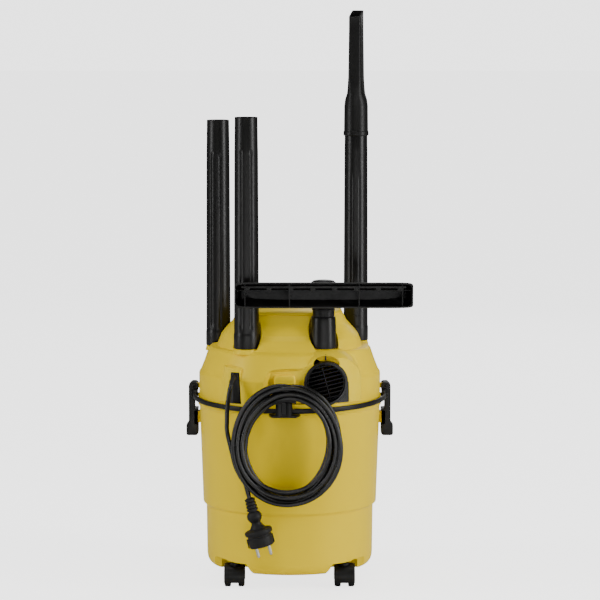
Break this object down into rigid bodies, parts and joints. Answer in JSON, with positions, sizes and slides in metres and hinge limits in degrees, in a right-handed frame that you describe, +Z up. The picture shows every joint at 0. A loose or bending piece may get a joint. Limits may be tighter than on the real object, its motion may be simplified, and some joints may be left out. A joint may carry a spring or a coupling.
{
  "type": "wet and dry drum vacuum cleaner",
  "caption": "Small wet and dry drum vacuum cleaner on casters, seen with its suction tubes, crevice tool, floor nozzle and coiled mains cord stored on its head.",
  "frame": {"origin": "on the floor under the middle of the drum", "axes": "+Z up; -Y out of the back, where the blower port and the cord are; +X to the right seen from the back"},
  "size_m": [0.344, 0.3462, 0.8728],
  "materials": {
    "yellow_plastic": "moulded, semi-gloss yellow",
    "black_plastic": "moulded, satin black",
    "black_rubber": "soft black",
    "steel": "plated",
    "copper": "enamelled copper winding on its core",
    "filter_paper": "pleated paper"
  },
  "bodies": {
    "cleaner": {"bail_pin_left": "black_plastic", "bail_pin_right": "black_plastic", "blower_grille": "black_plastic", "blower_port": "black_plastic", "cord_coil": "black_rubber", "cord_gland": "black_plastic", "cord_hook": "black_plastic", "cord_lead": "black_rubber", "cord_tail": "black_rubber", "drum": "yellow_plastic", "exhaust_duct": "black_plastic", "filter_cage": "black_plastic", "filter_cartridge": "filter_paper", "filter_end_cap": "black_rubber", "head_cover": "yellow_plastic", "hose_inlet": "black_plastic", "latch_pin_left": "steel", "latch_pin_right": "steel", "motor_bearing": "steel", "motor_housing": "black_plastic", "motor_stator": "copper", "motor_tray": "black_plastic", "plug_body": "black_rubber", "plug_pin_left": "steel", "plug_pin_right": "steel", "seal_ring": "black_rubber", "switch_body": "black_plastic", "tray_screw_1": "steel", "tray_screw_2": "steel", "tray_screw_3": "steel"},
    "caster_rear_left": {"caster_hood_rear_left": "black_plastic"},
    "wheels_rear_left": {"caster_wheels_rear_left": "black_rubber"},
    "caster_rear_right": {"caster_hood_rear_right": "black_plastic"},
    "wheels_rear_right": {"caster_wheels_rear_right": "black_rubber"},
    "caster_front_left": {"caster_hood_front_left": "black_plastic"},
    "wheels_front_left": {"caster_wheels_front_left": "black_rubber"},
    "caster_front_right": {"caster_hood_front_right": "black_plastic"},
    "wheels_front_right": {"caster_wheels_front_right": "black_rubber"},
    "rotor": {"motor_rotor": "steel", "suction_fan": "black_plastic"},
    "float": {"float_ball": "yellow_plastic"},
    "bail": {"bail_handle": "black_plastic"},
    "left_latch": {"latch_left": "black_plastic"},
    "right_latch": {"latch_right": "black_plastic"},
    "knob": {"switch_knob": "black_plastic"},
    "first_tube": {"suction_tube_1": "black_plastic"},
    "second_tube": {"suction_tube_2": "black_plastic"},
    "third_tube": {"suction_tube_3": "black_plastic"},
    "crevice": {"crevice_tool": "black_plastic"},
    "nozzle": {"nozzle_body": "black_plastic", "nozzle_comb": "black_plastic", "nozzle_cuff": "black_plastic"}
  },
  "joints": [
    {"name": "caster_swivel_rear_left", "type": "hinge", "parent": "cleaner", "child": "caster_rear_left", "pos_m": [-0.084, -0.086, 0], "axis": [0, 0, 1], "continuous": true},
    {"name": "wheel_spin_rear_left", "type": "hinge", "parent": "caster_rear_left", "child": "wheels_rear_left", "pos_m": [-0.084, -0.079, 0.0165], "axis": [1, 0, 0], "continuous": true},
    {"name": "caster_swivel_rear_right", "type": "hinge", "parent": "cleaner", "child": "caster_rear_right", "pos_m": [0.084, -0.086, 0], "axis": [0, 0, 1], "continuous": true},
    {"name": "wheel_spin_rear_right", "type": "hinge", "parent": "caster_rear_right", "child": "wheels_rear_right", "pos_m": [0.084, -0.079, 0.0165], "axis": [1, 0, 0], "continuous": true},
    {"name": "caster_swivel_front_left", "type": "hinge", "parent": "cleaner", "child": "caster_front_left", "pos_m": [-0.084, 0.086, 0], "axis": [0, 0, 1], "continuous": true},
    {"name": "wheel_spin_front_left", "type": "hinge", "parent": "caster_front_left", "child": "wheels_front_left", "pos_m": [-0.084, 0.079, 0.0165], "axis": [1, 0, 0], "continuous": true},
    {"name": "caster_swivel_front_right", "type": "hinge", "parent": "cleaner", "child": "caster_front_right", "pos_m": [0.084, 0.086, 0], "axis": [0, 0, 1], "continuous": true},
    {"name": "wheel_spin_front_right", "type": "hinge", "parent": "caster_front_right", "child": "wheels_front_right", "pos_m": [0.084, 0.079, 0.0165], "axis": [1, 0, 0], "continuous": true},
    {"name": "motor_spin", "type": "hinge", "parent": "cleaner", "child": "rotor", "pos_m": [0, 0, 0.34], "axis": [0, 0, 1], "continuous": true},
    {"name": "float_rise", "type": "slide", "parent": "cleaner", "child": "float", "axis": [0, 0, 1], "range_m": [0, 0.038]},
    {"name": "bail_swing", "type": "hinge", "parent": "cleaner", "child": "bail", "pos_m": [0, 0, 0.286], "axis": [-1, 0, 0], "range_deg": [0, 14]},
    {"name": "left_latch_swing", "type": "hinge", "parent": "cleaner", "child": "left_latch", "pos_m": [-0.148, 0.025, 0.297], "axis": [0, 1, 0], "range_deg": [0, 35]},
    {"name": "right_latch_swing", "type": "hinge", "parent": "cleaner", "child": "right_latch", "pos_m": [0.148, 0.025, 0.297], "axis": [0, -1, 0], "range_deg": [0, 35]},
    {"name": "switch_turn", "type": "hinge", "parent": "cleaner", "child": "knob", "pos_m": [0, 0.148, 0.313], "axis": [0, 1, 0], "range_deg": [0, 90]},
    {"name": "first_tube_lift", "type": "slide", "parent": "cleaner", "child": "first_tube", "axis": [0, 0, 1], "range_m": [0, 0.04]},
    {"name": "second_tube_lift", "type": "slide", "parent": "cleaner", "child": "second_tube", "axis": [0, 0, 1], "range_m": [0, 0.04]},
    {"name": "third_tube_lift", "type": "slide", "parent": "cleaner", "child": "third_tube", "axis": [0, 0, 1], "range_m": [0, 0.04]},
    {"name": "crevice_tool_pull", "type": "slide", "parent": "third_tube", "child": "crevice", "axis": [0, 0, 1], "range_m": [0, 0.035]},
    {"name": "nozzle_lift", "type": "slide", "parent": "cleaner", "child": "nozzle", "axis": [0, 0, 1], "range_m": [0, 0.04]}
  ]
}
